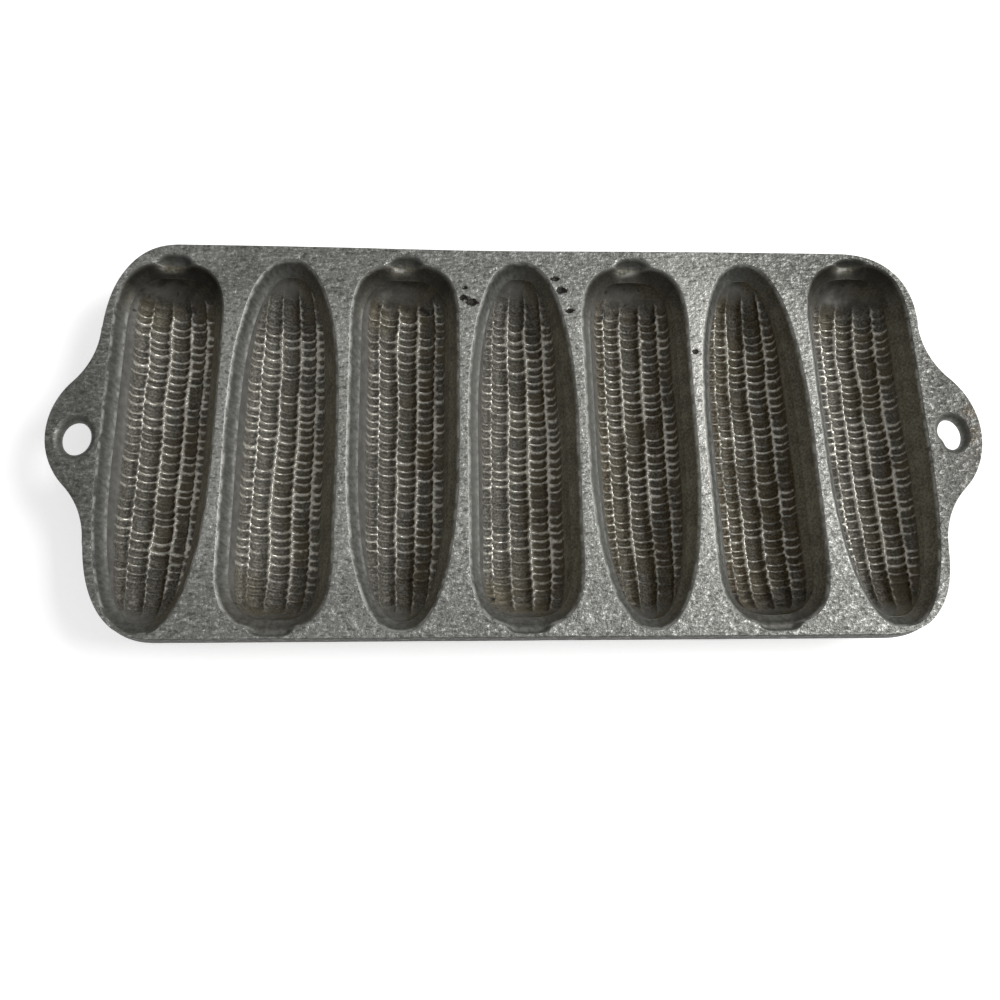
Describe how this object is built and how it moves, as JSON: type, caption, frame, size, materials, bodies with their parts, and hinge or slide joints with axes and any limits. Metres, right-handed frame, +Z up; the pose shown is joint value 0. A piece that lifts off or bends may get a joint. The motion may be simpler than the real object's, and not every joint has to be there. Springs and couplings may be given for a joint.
{
  "type": "cornstick pan",
  "caption": "Cast aluminium baking pan: a flat deck with moulds shaped like half ears of corn, lying butt to tip in turn, and a hanging ear with an oval hole at each end.",
  "frame": {"origin": "on the table under the middle of the deck, at the bottom of the moulds", "axes": "+X along the row of moulds from the left ear to the right ear, +Y away from the viewer of the picture, towards the stem recesses of the first and last mould, +Z up out of the moulds"},
  "size_m": [0.3378, 0.148, 0.022],
  "materials": {
    "cast_aluminium": "as sand cast, dull grey and grainy, worn bright along the edges",
    "baked_aluminium": "sand cast, bright on the ridges, with dark baked-on residue in the kernel hollows"
  },
  "bodies": {
    "root": {"deck_plate": "cast_aluminium", "corn_mould_1": "baked_aluminium", "corn_mould_2": "baked_aluminium", "corn_mould_3": "baked_aluminium", "corn_mould_4": "baked_aluminium", "corn_mould_5": "baked_aluminium", "corn_mould_6": "baked_aluminium", "corn_mould_7": "baked_aluminium", "ear_handle_left": "cast_aluminium", "ear_handle_right": "cast_aluminium"}
  },
  "joints": []
}
